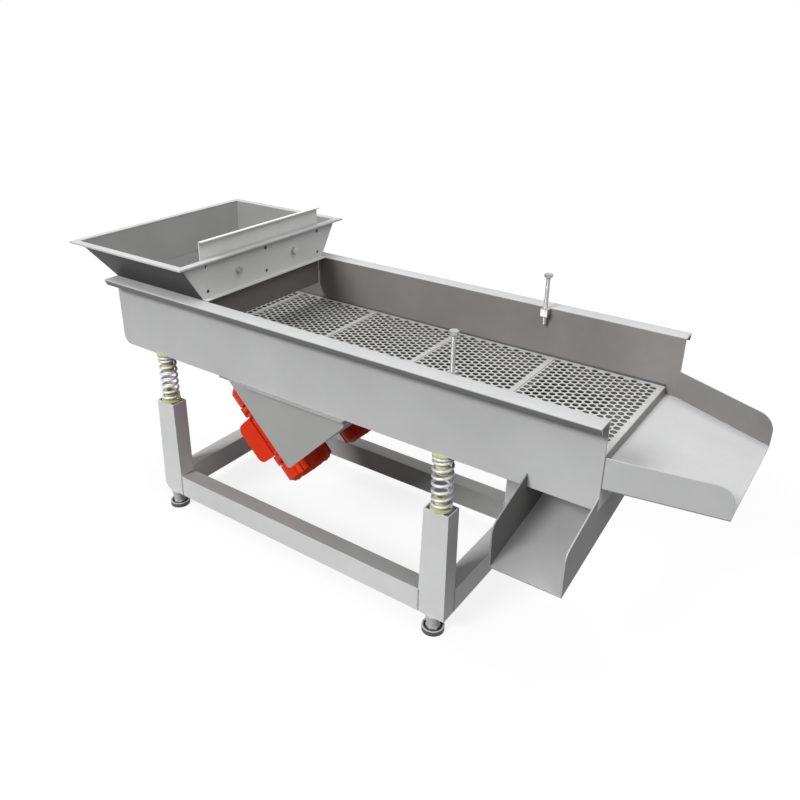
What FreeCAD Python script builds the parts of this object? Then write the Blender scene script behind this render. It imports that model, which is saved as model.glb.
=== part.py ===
"""Linear vibrating screen: a sheet-steel trough with a perforated deck, carried on
four coil springs by a rectangular-tube base frame and shaken by two vibration motors.

Machine axes while modelling: X runs from the feed end of the trough to its
discharge end, Y across it (near side negative), Z up from the floor.
At export everything moves so that the origin is the centre of the footprint.
"""
import FreeCAD
import Part
import math
import os

V = FreeCAD.Vector

# trough
trough_length = 1500.0
trough_inner_width = 500.0
trough_top = 740.0
side_height = 212.0
side_plate = 4.0
flange_width = 52.0
flange_lip = 24.0
flange_lip_angle = 45.0
corner_radius = 28.0
bend_radius = 1.0
sheet = 3.0

# deck
deck_drop = 135.0
deck_end_gap = 28.0
deck_lip = 24.0
deck_lip_angle = 55.0
deck_panels = 5
slots_across = 12
slots_along = 2
slot_width = 18.0
slot_gap = 40.0
cross_bar = 40.0
tube_wall = 3.0

# long screws in the weld nuts inside the side plates
screw_x = 1138.0
screw_radius = 5.5
screw_above = 96.0
screw_below = 42.0
screw_head_width = 20.0
screw_head_height = 9.0
weld_nut_width = 20.0
weld_nut_height = 20.0

# hopper
hopper_length = 365.0
hopper_height = 106.0
hopper_side_spread = 68.0
hopper_back_spread = 66.0
rim_width = 18.0
rim_fold = 8.0
hopper_skirt = 42.0
front_lip = 18.0
wall_hole_radius = 5.0
wall_hole_y = 231.0
wall_hole_low = 20.0
wall_hole_high = 88.0

# gate
gate_side_gap = 5.0
gate_front_gap = 5.0
gate_deck_gap = 50.0
gate_above_rim = 54.0
gate_lip = 12.0
gate_up_travel = 45.0
gate_down_travel = 30.0
stud_y = 116.0
stud_height = 54.0
stud_radius = 5.0
stud_head_radius = 8.5
stud_head_length = 13.0
stud_nut_width = 17.0
stud_nut_height = 8.0
slot_clearance = 1.5
gate_clearance = 0.3

# base frame
tube_long = 70.0
tube_short = 50.0
frame_start = 128.0
frame_overhang = 342.0
frame_width = 520.0
leg_bottom = 52.0
leg_taper = 10.0
leg_corner = 28.0
leg_cap_recess = 10.0

# levelling feet
foot_radius = 30.0
foot_height = 14.0
foot_dish = 5.0
foot_rim = 4.0
foot_neck_low = 15.0
foot_neck_high = 23.0
foot_nut_width = 34.0
foot_nut_height = 9.0
foot_outset = 8.0

# springs and their seats
spring_space = 156.0
coil_radius = 23.5
wire_radius = 4.0
free_turns = 6
closed_pitch = 8.4
coil_runs = 10
seat_flange_radius = 28.0
seat_flange = 5.0
seat_plug_radius = 17.5
seat_bore_radius = 11.0
seat_bore_depth = 25.0
lower_plug = 34.0
upper_plug = 56.0

# motor bracket
bracket_start = 400.0
bracket_end = 846.0
bracket_vertex_x = 654.0
bracket_depth = 210.0
bracket_plate = 8.0
gusset_flange = 8.0
gusset_flange_start = 515.0
gusset_corner = 10.0
plate_inset = 7.0

# vibration motors
motor_spacing = 264.0
motor_length = 324.0
motor_centre = 634.0
motor_axis_height = 75.0
motor_body_radius = 60.0
motor_cover_radius = 69.0
motor_cover_length = 62.0
motor_chamfer = 10.0
shield_length = 30.0
lug_radius = 13.0
lug_circle = 63.0
box_length = 130.0
box_width = 104.0
box_reach = 118.0
box_start = 48.0
box_corner = 24.0
gland_width = 20.0
gland_length = 22.0
motor_foot_length = 44.0
motor_foot_width = 150.0
motor_foot_height = 14.0

# fines chute, below the discharge end, falling to the near side
fines_width = 161.0
fines_reach = 404.0
fines_fall = 116.0
fines_wall_above = 32.0
fines_wall_fall = 49.0
fines_corner = 24.0

# oversize chute, beyond the discharge end
oversize_length = 235.0
oversize_drop = 157.0
oversize_fall = 23.0
oversize_wall = 70.0
oversize_end_half = 175.0
oversize_corner = 34.0

# places that follow from the sizes
half_inner = trough_inner_width / 2
half_outer = half_inner + side_plate
trough_bottom = trough_top - side_height
deck_top = trough_top - deck_drop
deck_bottom = deck_top - sheet
deck_end = trough_length - deck_end_gap
fines_start = trough_length - fines_width
leg_top = trough_bottom - spring_space
frame_end = trough_length - frame_overhang
hopper_top = trough_top + hopper_height
rim_half = half_inner + hopper_side_spread + rim_width
gate_front = hopper_length - sheet - gate_front_gap
gate_back = gate_front - sheet
frame_half = frame_width / 2
rail_top = leg_bottom + tube_long
footprint_x = (trough_length + oversize_length - hopper_back_spread - rim_width) / 2
footprint_y = (rim_half - fines_reach) / 2

parts = {}


# shapes used all over

def box(x0, x1, y0, y1, z0, z1):
    return Part.makeBox(x1 - x0, y1 - y0, z1 - z0, V(x0, y0, z0))


def prism(points, push):
    """Solid from a closed outline of vectors, pushed along a vector."""
    return Part.Face(Part.makePolygon(points + [points[0]])).extrude(push)


def rod(radius, start, end):
    return Part.makeCylinder(radius, (end - start).Length, start, end - start)


def hexagon(width, start, end):
    """Hexagonal bar of a given width across flats."""
    corner = width / math.sqrt(3)
    axis = (end - start).normalize()
    side = V(0, 1, 0) if abs(axis.y) < 0.9 else V(1, 0, 0)
    spin = FreeCAD.Rotation(axis, 60)
    arm = side * corner
    points = []
    for _ in range(6):
        points.append(start + arm)
        arm = spin.multVec(arm)
    return prism(points, end - start)


def turned(outline, centre, axis):
    """Solid turned from an outline that touches the axis."""
    return Part.Face(Part.makePolygon(outline + [outline[0]])).revolve(centre, axis, 360)


def mirror_y(shape):
    return shape.mirror(V(0, 0, 0), V(0, 1, 0))


def rounded_edges(points, radius):
    """Edges of an open line through points, each inner corner rounded."""
    edges = []
    last = points[0]
    for before, corner, after in zip(points, points[1:], points[2:]):
        a = (before - corner).normalize()
        b = (after - corner).normalize()
        half = a.getAngle(b) / 2
        back = radius / math.tan(half)
        middle = corner + (a + b).normalize() * (radius / math.sin(half) - radius)
        edges.append(Part.makeLine(last, corner + a * back))
        edges.append(Part.Arc(corner + a * back, middle, corner + b * back).toShape())
        last = corner + b * back
    edges.append(Part.makeLine(last, points[-1]))
    return edges


def folded_sheet(points, thickness, push, bend=bend_radius):
    """Bent sheet whose outer line runs through the points. Its thickness lies on the side
    of travel x push, which is also the side that every fold turns to."""
    inner = []
    for i, point in enumerate(points):
        if i == 0 or i == len(points) - 1:
            travel = points[1] - points[0] if i == 0 else points[-1] - points[-2]
            inner.append(point + travel.cross(push).normalize() * thickness)
        else:
            a = (points[i - 1] - point).normalize()
            b = (points[i + 1] - point).normalize()
            inner.append(point + (a + b).normalize() * (thickness / math.sin(a.getAngle(b) / 2)))
    edges = rounded_edges(points, bend + thickness)
    edges.append(Part.makeLine(points[-1], inner[-1]))
    edges += rounded_edges(inner[::-1], bend)
    edges.append(Part.makeLine(inner[0], points[0]))
    return Part.Face(Part.Wire(edges)).extrude(push)


def rounded_at(plate, corner, radius):
    """Plate with the edge that its corner makes through the thickness rounded."""
    edges = [e for e in plate.Edges if e.distToShape(Part.Vertex(corner))[0] < 0.1]
    return plate.makeFillet(radius, [min(edges, key=lambda e: e.Length)])


def rect_tube(low, high, axis, wall=tube_wall):
    """Rectangular tube between two corners, open at both ends along the axis."""
    inner_low = V(low)
    inner_high = V(high)
    for name in "xyz":
        if name != axis:
            setattr(inner_low, name, getattr(low, name) + wall)
            setattr(inner_high, name, getattr(high, name) - wall)
    outer = box(low.x, high.x, low.y, high.y, low.z, high.z)
    return outer.cut(box(inner_low.x, inner_high.x, inner_low.y, inner_high.y,
                         inner_low.z, inner_high.z))


def pair(name, near):
    """Near piece and its mirror image on the far side."""
    parts[name + "_near"] = near
    parts[name + "_far"] = mirror_y(near)


# trough: each side is one sheet with an outward top flange and a lip folded down and
# inward from it; between the sides a pan turns up at the feed end to close it

def trough_side():
    lip = math.radians(flange_lip_angle)
    edge = -half_outer - flange_width
    points = [V(0, edge + flange_lip * math.cos(lip), trough_top - flange_lip * math.sin(lip)),
              V(0, edge, trough_top), V(0, -half_inner, trough_top),
              V(0, -half_inner, trough_bottom)]
    side = folded_sheet(points, side_plate, V(trough_length, 0, 0))
    corner = box(0, corner_radius, -half_outer, -half_inner, trough_bottom,
                 trough_bottom + corner_radius)
    centre = V(corner_radius, -half_outer, trough_bottom + corner_radius)
    corner = corner.cut(rod(corner_radius, centre, centre + V(0, side_plate, 0)))
    return side.cut(corner)


pair("side_plate", trough_side())


def bottom_pan():
    points = [V(0, -half_inner, trough_top), V(0, -half_inner, trough_bottom),
              V(fines_start + sheet, -half_inner, trough_bottom)]
    return folded_sheet(points, sheet, V(0, trough_inner_width, 0), corner_radius - sheet)


parts["bottom_pan"] = bottom_pan()
parts["discharge_end_plate"] = box(trough_length - side_plate, trough_length, -half_inner,
                                   half_inner, trough_bottom, trough_top - oversize_drop - sheet)


def screen_deck():
    """Flat deck plate, its discharge end folded down. A coarse grid of slots stands for
    the fine round perforation of each panel."""
    lip = math.radians(deck_lip_angle)
    end = V(deck_end, -half_inner, deck_top)
    points = [end + V(deck_lip * math.cos(lip), 0, -deck_lip * math.sin(lip)), end,
              V(sheet, -half_inner, deck_top)]
    plate = folded_sheet(points, sheet, V(0, trough_inner_width, 0))
    pitch_x = (deck_end - sheet) / (deck_panels * slots_along)
    pitch_y = trough_inner_width / slots_across
    slots = []
    for i in range(deck_panels * slots_along):
        x = sheet + pitch_x * i
        for k in range(slots_across):
            y = -half_inner + pitch_y * (k + 0.5)
            slots.append(box(x + slot_gap / 2, x + pitch_x - slot_gap / 2, y - slot_width / 2,
                             y + slot_width / 2, deck_bottom - 1, deck_top + 1))
    return plate.cut(Part.Compound(slots))


parts["screen_deck"] = screen_deck()

for i in range(1, deck_panels):
    x = sheet + (deck_end - sheet) * i / deck_panels
    parts["deck_cross_bar_%d" % i] = rect_tube(
        V(x - cross_bar / 2, -half_inner, deck_bottom - cross_bar),
        V(x + cross_bar / 2, half_inner, deck_bottom), "y")


def side_screw():
    """Long hexagon-head screw standing in a nut welded inside the side plate."""
    y = -half_inner + weld_nut_width / 2
    top = trough_top + screw_above
    shank = rod(screw_radius, V(screw_x, y, trough_top - screw_below), V(screw_x, y, top))
    head = hexagon(screw_head_width, V(screw_x, y, top - screw_head_height), V(screw_x, y, top))
    nut = box(screw_x - weld_nut_width / 2, screw_x + weld_nut_width / 2, -half_inner,
              -half_inner + weld_nut_width, trough_top - weld_nut_height, trough_top)
    return shank.fuse([head, nut]).removeSplitter()


pair("side_screw", side_screw())


# hopper: four walls that flare to a folded rim

def flared_block(inset):
    """Inside or outside of the hopper as one block, by its inset from the outer faces."""
    top_half = half_inner + hopper_side_spread
    low = [V(inset, -half_inner + inset, trough_top),
           V(hopper_length - inset, -half_inner + inset, trough_top),
           V(hopper_length - inset, half_inner - inset, trough_top),
           V(inset, half_inner - inset, trough_top)]
    high = [V(-hopper_back_spread + inset, -top_half + inset, hopper_top),
            V(hopper_length - inset, -top_half + inset, hopper_top),
            V(hopper_length - inset, top_half - inset, hopper_top),
            V(-hopper_back_spread + inset, top_half - inset, hopper_top)]
    faces = [Part.Face(Part.makePolygon(low + [low[0]])), Part.Face(Part.makePolygon(high + [high[0]]))]
    for i in range(4):
        j = (i + 1) % 4
        faces.append(Part.Face(Part.makePolygon([low[i], low[j], high[j], high[i], low[i]])))
    return Part.Solid(Part.Shell(faces))


far_out = trough_length
hopper_shell = flared_block(0).cut(flared_block(sheet))
front_zone = box(hopper_length - sheet, hopper_length + 1, -far_out, far_out,
                 trough_top - 1, hopper_top + 1)
back_zone = prism([V(sheet, -far_out, trough_top), V(-far_out, -far_out, trough_top),
                   V(-far_out, -far_out, hopper_top),
                   V(-hopper_back_spread + sheet, -far_out, hopper_top)], V(0, 2 * far_out, 0))
near_zone = box(-far_out, trough_length, -far_out, 0, trough_bottom, hopper_top + 1)


def hopper_side():
    wall = hopper_shell.cut(front_zone).cut(back_zone).common(near_zone)
    skirt = box(sheet, hopper_length - sheet, -half_inner, -half_inner + sheet,
                trough_top - hopper_skirt, trough_top)
    return wall.fuse(skirt).removeSplitter()


def hopper_front():
    wall = hopper_shell.common(front_zone)
    lip = box(hopper_length - sheet, hopper_length + front_lip, -half_inner, half_inner,
              trough_top, trough_top + sheet)
    wall = wall.fuse(lip).removeSplitter()
    through = V(hopper_length - sheet - 1, 0, 0)
    holes = [(y, z, wall_hole_radius) for y in (-wall_hole_y, 0, wall_hole_y)
             for z in (wall_hole_low, wall_hole_high)]
    holes += [(y, stud_height, stud_radius) for y in (-stud_y, stud_y)]
    for y, z, radius in holes:
        start = through + V(0, y, trough_top + z)
        wall = wall.cut(rod(radius, start, start + V(sheet + 2, 0, 0)))
    return wall


def hopper_rim():
    """Flat rim round the mouth, its outer edge folded down."""
    x0 = -hopper_back_spread
    x1 = hopper_length
    y1 = half_inner + hopper_side_spread
    plan = box(x0 - rim_width, x1 + rim_width, -rim_half, rim_half, hopper_top - rim_fold,
               hopper_top + sheet)
    below = box(x0 - rim_width + sheet, x1 + rim_width - sheet, -rim_half + sheet,
                rim_half - sheet, hopper_top - rim_fold, hopper_top)
    mouth = box(x0 + sheet, x1 - sheet, -y1 + sheet, y1 - sheet, hopper_top, hopper_top + sheet)
    return plan.cut(below).cut(mouth)


parts["hopper_near_wall"] = hopper_side()
parts["hopper_far_wall"] = mirror_y(parts["hopper_near_wall"])
parts["hopper_back_wall"] = hopper_shell.common(back_zone)
parts["hopper_front_wall"] = hopper_front()
parts["hopper_rim"] = hopper_rim()


# gate: slotted plate behind the front wall, clamped by two studs

def gate_plate():
    half = half_inner - sheet - gate_side_gap
    top = hopper_top + gate_above_rim
    points = [V(gate_front + gate_lip, -half, top), V(gate_back, -half, top),
              V(gate_back, -half, deck_top + gate_deck_gap)]
    plate = folded_sheet(points, sheet, V(0, 2 * half, 0))
    z = trough_top + stud_height
    r = stud_radius + slot_clearance
    across = V(sheet + 2, 0, 0)
    for y in (-stud_y, stud_y):
        low = V(gate_back - 1, y, z - gate_up_travel)
        high = V(gate_back - 1, y, z + gate_down_travel)
        slot = rod(r, low, low + across).fuse([
            rod(r, high, high + across),
            box(low.x, low.x + across.x, y - r, y + r, low.z, high.z)])
        plate = plate.cut(slot)
    return plate


def gate_stud():
    """Stud through the front wall and the gate's slot, with a spacer before the gate
    and a nut behind it."""
    centre = V(0, -stud_y, trough_top + stud_height)

    def at(x):
        return centre + V(x, 0, 0)

    nut_front = gate_back - gate_clearance
    head = rod(stud_head_radius, at(hopper_length), at(hopper_length + stud_head_length))
    shank = rod(stud_radius, at(nut_front - stud_nut_height - 3), at(hopper_length))
    spacer = hexagon(stud_nut_width, at(gate_front + gate_clearance), at(hopper_length - sheet))
    nut = hexagon(stud_nut_width, at(nut_front - stud_nut_height), at(nut_front))
    return shank.fuse([head, spacer, nut]).removeSplitter()


parts["gate_plate"] = gate_plate()
pair("gate_stud", gate_stud())


# base frame: upright tubes, side rails and cross rails with flush faces

def leg_outline(y, inset=0.0):
    """Outline of a leg seen from the side: straight on its discharge edge, wider at the
    foot than at the top on its feed edge."""
    x0 = frame_start + inset
    x1 = frame_start + tube_long - inset
    return [V(x1, y, leg_top), V(x1, y, leg_bottom), V(x0 - leg_taper, y, leg_bottom),
            V(x0, y, leg_top)]


def leg_block():
    return prism(leg_outline(-frame_half), V(0, tube_short, 0))


def leg(corner):
    inner_depth = V(0, tube_short - 2 * tube_wall, 0)
    hollow = prism(leg_outline(-frame_half + tube_wall, tube_wall), inner_depth)
    block = leg_block()
    if corner:
        block = rounded_at(block, leg_outline(-frame_half)[2], corner)
        low = leg_outline(-frame_half + tube_wall, tube_wall)[2]
        hollow = rounded_at(hollow, low, corner - tube_wall)
    cap_low = leg_top - leg_cap_recess - tube_wall
    cap = hollow.common(box(0, trough_length, -frame_half, 0, cap_low, cap_low + tube_wall))
    sole = hollow.common(box(0, trough_length, -frame_half, 0, 0, leg_bottom + 2 * tube_wall))
    return block.cut(hollow).fuse([cap, sole]).removeSplitter()


to_discharge = V(frame_end - frame_start - tube_long, 0, 0)
parts["leg_near_feed"] = leg(leg_corner)
parts["leg_far_feed"] = mirror_y(parts["leg_near_feed"])
parts["leg_near_discharge"] = leg(0).translated(to_discharge)
parts["leg_far_discharge"] = mirror_y(parts["leg_near_discharge"])

rail = rect_tube(V(frame_start + tube_long, -frame_half, leg_bottom),
                 V(frame_end - tube_long, -frame_half + tube_short, rail_top), "x")
pair("rail", rail.cut(leg_block().translated(to_discharge)))
cross_half = frame_half - tube_short
parts["cross_rail_feed"] = rect_tube(V(frame_start, -cross_half, leg_bottom),
                                     V(frame_start + tube_short, cross_half, rail_top), "y")
parts["cross_rail_discharge"] = rect_tube(V(frame_end - tube_short, -cross_half, leg_bottom),
                                          V(frame_end, cross_half, rail_top), "y")


# at each leg: a levelling foot below, a spring between two seats above

def levelling_foot(x, y):
    """Dished round pad with a neck that widens to the leg, and a nut round the neck."""
    dish = foot_height - foot_dish
    profile = [V(0, 0, 0), V(foot_radius, 0, 0), V(foot_radius, 0, foot_height),
               V(foot_radius - foot_rim, 0, foot_height),
               V(foot_radius - foot_rim - foot_dish, 0, dish), V(foot_neck_low, 0, dish),
               V(foot_neck_high, 0, leg_bottom), V(0, 0, leg_bottom)]
    pad = turned(profile, V(0, 0, 0), V(0, 0, 1))
    nut = hexagon(foot_nut_width, V(0, 0, dish), V(0, 0, dish + foot_nut_height))
    return pad.fuse(nut).removeSplitter().translated(V(x, y, 0))


def spring_seat(x, y, z, plug):
    """Turned flange with a plug that centres the coil, standing up or hanging down."""
    flange = seat_flange if plug > 0 else -seat_flange
    outline = [V(0, 0, 0), V(seat_flange_radius, 0, 0), V(seat_flange_radius, 0, flange),
               V(seat_plug_radius, 0, flange), V(seat_plug_radius, 0, plug), V(0, 0, plug)]
    return turned(outline, V(0, 0, 0), V(0, 0, 1)).translated(V(x, y, z))


def coil_height(turn):
    """Height of the wire's centre above the coil's foot: a closed turn at each end."""
    free_height = spring_space - 2 * (seat_flange + wire_radius + closed_pitch)
    if turn < 1:
        return closed_pitch * turn
    if turn < 1 + free_turns:
        return closed_pitch + free_height * (turn - 1) / free_turns
    return closed_pitch * (turn - free_turns) + free_height


def coil_spring(x, y):
    """Round wire wound up a helix; the wire is drawn with eight flats and each turn in
    straight runs, mitred together."""
    points = []
    for i in range((free_turns + 2) * coil_runs + 1):
        turn = i / coil_runs
        angle = 2 * math.pi * turn
        points.append(V(coil_radius * math.cos(angle), coil_radius * math.sin(angle),
                        coil_height(turn)))
    ahead = (points[1] - points[0]).normalize()
    out = (V(1, 0, 0) - ahead * ahead.x).normalize()
    up = ahead.cross(out)
    ring = []
    for k in range(8):
        angle = math.pi * k / 4
        ring.append(points[0] + (out * math.cos(angle) + up * math.sin(angle)) * wire_radius)
    section = Part.makePolygon(ring + [ring[0]])
    wire = Part.makePolygon(points).makePipeShell([section], True, False, 1)
    return wire.translated(V(x, y, leg_top + seat_flange + wire_radius))


leg_centre_y = frame_half - tube_short / 2
for side, y in (("near", -leg_centre_y), ("far", leg_centre_y)):
    for end, x in (("feed", frame_start + tube_long / 2), ("discharge", frame_end - tube_long / 2)):
        place = side + "_" + end
        outset = foot_outset if y > 0 else -foot_outset
        parts["foot_" + place] = levelling_foot(x - leg_taper / 2, y + outset)
        seat = spring_seat(x, y, leg_top, lower_plug)
        top = V(x, y, leg_top + lower_plug)
        bore = rod(seat_bore_radius, top - V(0, 0, seat_bore_depth), top)
        parts["lower_seat_" + place] = seat.cut(bore)
        parts["upper_seat_" + place] = spring_seat(x, y, trough_bottom, -upper_plug)
        parts["spring_" + place] = coil_spring(x, y)


# motor bracket: closed triangular beam under the trough; the motors hang on the
# plate along its slope

def slope_plate(sense, inset, thickness):
    """Plate along one slope of the triangle, set in from its edge; sense -1 is the
    slope that the motors hang on."""
    edge = inset * math.sqrt(2)
    inner = (inset + thickness) * math.sqrt(2)
    vertex = trough_bottom - bracket_depth
    points = [V(bracket_vertex_x + sense * (bracket_depth - edge), -half_inner, trough_bottom),
              V(bracket_vertex_x, -half_inner, vertex + edge),
              V(bracket_vertex_x, -half_inner, vertex + inner),
              V(bracket_vertex_x + sense * (bracket_depth - inner), -half_inner, trough_bottom)]
    return prism(points, V(0, trough_inner_width, 0))


def motor_bracket():
    beyond = box(bracket_end, trough_length, -far_out, far_out, 0, trough_top)
    top = box(bracket_start, bracket_end, -half_inner, half_inner,
              trough_bottom - bracket_plate, trough_bottom)
    triangle = [V(bracket_vertex_x - bracket_depth, -half_inner, trough_bottom),
                V(bracket_vertex_x, -half_inner, trough_bottom - bracket_depth),
                V(bracket_vertex_x + bracket_depth, -half_inner, trough_bottom)]
    gusset = rounded_at(prism(triangle, V(0, -bracket_plate, 0)), triangle[1], gusset_corner)
    flange = box(gusset_flange_start, bracket_end, -half_inner - bracket_plate - gusset_flange,
                 -half_inner, trough_bottom - side_plate, trough_bottom)
    near = gusset.cut(beyond).fuse(flange)
    motor_plate = slope_plate(-1, plate_inset, bracket_plate)
    closing_plate = slope_plate(1, plate_inset, bracket_plate).cut(beyond)
    return top.fuse([near, mirror_y(near), motor_plate, closing_plate]).removeSplitter()


parts["motor_bracket"] = motor_bracket()


# vibration motors: drawn lying along X under a level plate, then tilted to the slope

seat_level = (bracket_vertex_x - bracket_depth - side_height) / math.sqrt(2) + plate_inset
motor_axis = seat_level - motor_axis_height


def end_shield_lug(x, y, quarter):
    """Round lug on an end shield, round one cover bolt."""
    angle = math.radians(quarter)
    centre = V(x, y + lug_circle * math.sin(angle), motor_axis + lug_circle * math.cos(angle))
    return rod(lug_radius, centre, centre + V(shield_length, 0, 0))


def terminal_box(y):
    """Box on the side away from the plate, with well-rounded ends and a cable gland."""
    low = motor_axis - box_reach
    lid = box(motor_centre - box_length / 2, motor_centre + box_length / 2, y - box_width / 2,
              y + box_width / 2, low, motor_axis - box_start)
    ends = [e for e in lid.Edges if e.BoundBox.ZMax < low + 0.1 and e.BoundBox.YLength > box_corner]
    lid = lid.makeFillet(box_corner, ends)
    start = V(motor_centre + box_length / 2 - sheet, y, motor_axis - box_start - gland_width)
    return lid.fuse(hexagon(gland_width, start, start + V(gland_length + sheet, 0, 0)))


def vibration_motor(y):
    start = motor_centre - motor_length / 2
    end = motor_centre + motor_length / 2
    c = motor_chamfer
    cover = motor_cover_length
    body = motor_body_radius
    large = motor_cover_radius
    profile = [(start, 0), (start, large - c), (start + c, large), (start + cover, large),
               (start + cover, body), (end - cover, body), (end - cover, large),
               (end - c, large), (end, large - c), (end, 0)]
    outline = [V(x, y, motor_axis + r) for x, r in profile]
    motor = turned(outline, V(0, y, motor_axis), V(1, 0, 0))
    details = [terminal_box(y)]
    shields = (start + cover, end - cover - shield_length)
    for x in shields:
        for quarter in (45, 135, 225, 315):
            details.append(end_shield_lug(x, y, quarter))
    for x in (shields[0] + shield_length, shields[1] - motor_foot_length):
        x1 = x + motor_foot_length
        half = motor_foot_width / 2
        details.append(prism([V(x, y - half, seat_level), V(x, y + half, seat_level),
                              V(x, y + half, seat_level - motor_foot_height),
                              V(x, y + body - sheet, motor_axis + sheet),
                              V(x, y - body + sheet, motor_axis + sheet),
                              V(x, y - half, seat_level - motor_foot_height)], V(x1 - x, 0, 0)))
    motor = motor.fuse(details).removeSplitter()
    motor.rotate(V(0, 0, 0), V(0, 1, 0), 45)
    return motor.translated(V(0, 0, trough_top))


parts["vibration_motor_near"] = vibration_motor(-motor_spacing / 2)
parts["vibration_motor_far"] = vibration_motor(motor_spacing / 2)


# fines chute: a tray across the machine under the discharge end

def fines_chute():
    mouth_z = trough_bottom - fines_fall
    lip_z = trough_bottom + fines_wall_above - fines_wall_fall
    across = V(fines_width, 0, 0)
    down = V(0, 0, -sheet)
    far = V(fines_start, half_inner, trough_bottom)
    mouth = V(fines_start, -fines_reach, mouth_z)
    floor = prism([far, mouth, mouth + down, far + down], across)
    corner = V(fines_start, -fines_reach, lip_z)
    outline = [far, far + down, mouth + down, corner,
               V(fines_start, -half_outer, trough_bottom + fines_wall_above),
               V(fines_start, -half_outer, trough_bottom)]
    wall = rounded_at(prism(outline, V(sheet, 0, 0)), corner, fines_corner)
    other = wall.translated(across - V(sheet, 0, 0))
    return floor.fuse([wall, other]).removeSplitter()


parts["fines_chute"] = fines_chute()


# oversize chute: a tray beyond the deck end, narrowing to its mouth

def oversize_chute():
    start = trough_length
    end = trough_length + oversize_length
    high = trough_top - oversize_drop
    low = high - oversize_fall
    apron = box(deck_end, start, -half_inner, half_inner, high - sheet, high)
    bed = prism([V(start, -half_inner, high), V(end, -half_inner, low),
                 V(end, -half_inner, low - sheet), V(start, -half_inner, high - sheet)],
                V(0, trough_inner_width, 0))
    plan = prism([V(start, -half_inner, low - 10), V(end, -oversize_end_half, low - 10),
                  V(end, oversize_end_half, low - 10), V(start, half_inner, low - 10)],
                 V(0, 0, oversize_drop))
    bed = bed.common(plan)
    top = V(end, 0, low + oversize_wall)
    wall = prism([V(start, 0, high - sheet), V(end, 0, low - sheet), top,
                  V(start, 0, high + oversize_wall)], V(0, sheet, 0))
    wall = rounded_at(wall, top, oversize_corner)
    taper = math.degrees(math.atan2(half_inner - oversize_end_half, oversize_length))
    wall.rotate(V(start, 0, 0), V(0, 0, 1), taper)
    wall.translate(V(0, -half_inner, 0))
    return apron.fuse([bed, wall, mirror_y(wall)]).removeSplitter()


parts["oversize_chute"] = oversize_chute()

os.makedirs("parts", exist_ok=True)
for name, shape in sorted(parts.items()):
    solid = shape.translated(V(-footprint_x, -footprint_y, 0)).Solids[0]
    solid.exportStep("parts/%s.step" % name)
    print(name, "valid" if solid.isValid() else "BROKEN", len(shape.Solids),
          round(solid.Volume / 1000, 1), "cm3")
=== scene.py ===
import bpy
import bisect
import bmesh
import math
import random
from mathutils import Matrix, Vector


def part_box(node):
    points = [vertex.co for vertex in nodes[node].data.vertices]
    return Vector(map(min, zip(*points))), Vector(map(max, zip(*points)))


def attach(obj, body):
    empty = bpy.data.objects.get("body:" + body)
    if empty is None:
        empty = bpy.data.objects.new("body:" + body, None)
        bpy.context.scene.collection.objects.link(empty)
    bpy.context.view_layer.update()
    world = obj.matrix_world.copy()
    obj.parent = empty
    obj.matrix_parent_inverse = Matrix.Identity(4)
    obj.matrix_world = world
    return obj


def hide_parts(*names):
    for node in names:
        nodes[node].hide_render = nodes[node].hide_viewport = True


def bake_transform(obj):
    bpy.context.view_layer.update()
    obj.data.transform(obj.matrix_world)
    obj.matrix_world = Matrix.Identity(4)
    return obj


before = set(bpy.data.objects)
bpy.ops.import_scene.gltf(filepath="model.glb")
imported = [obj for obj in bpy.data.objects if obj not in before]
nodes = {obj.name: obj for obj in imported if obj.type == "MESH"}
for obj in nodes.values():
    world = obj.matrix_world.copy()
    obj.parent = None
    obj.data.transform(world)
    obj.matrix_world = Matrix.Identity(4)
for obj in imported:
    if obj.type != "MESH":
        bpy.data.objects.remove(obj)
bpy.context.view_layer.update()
print("frame loaded:", len(nodes), "nodes")

mm = 0.001
sides = ("near", "far")
corners = [side + "_" + end for side in sides for end in ("feed", "discharge")]


# small helpers for meshes

def newPiece(name, verts, faces, material, body, smooth=False):
    mesh = bpy.data.meshes.new(name)
    mesh.from_pydata([tuple(v) for v in verts], [], faces)
    mesh.update()
    piece = bpy.data.objects.new(name, mesh)
    bpy.context.collection.objects.link(piece)
    mesh.materials.append(material)
    if smooth:
        mesh.shade_smooth()
    if body:
        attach(piece, body)
    return piece


def centreOf(name):
    low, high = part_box(name)
    return (low + high) / 2


def inMetres(profile):
    # (distance, radius) pairs from mm
    return [(distance * mm, radius * mm) for distance, radius in profile]


def ringAt(centre, axisA, axisB, radius, count):
    points = []
    for k in range(count):
        angle = 2 * math.pi * k / count
        points.append(centre + (axisA * math.cos(angle) + axisB * math.sin(angle)) * radius)
    return points


def bridge(faces, start, count, rings):
    # quads between rings of points
    for r in range(rings - 1):
        for k in range(count):
            a = start + r * count + k
            b = start + r * count + (k + 1) % count
            faces.append((a, b, b + count, a + count))


def tidyNormals(piece):
    # all faces outwards, edges over 30 degrees sharp
    grid = bmesh.new()
    grid.from_mesh(piece.data)
    bmesh.ops.recalc_face_normals(grid, faces=grid.faces)
    grid.to_mesh(piece.data)
    grid.free()
    piece.data.set_sharp_from_angle(angle=math.radians(30))


def crossAxes(axis):
    side = Vector((0, 0, 1)) if abs(axis.z) < 0.9 else Vector((1, 0, 0))
    a = axis.cross(side).normalized()
    return a, axis.cross(a).normalized()


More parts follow.
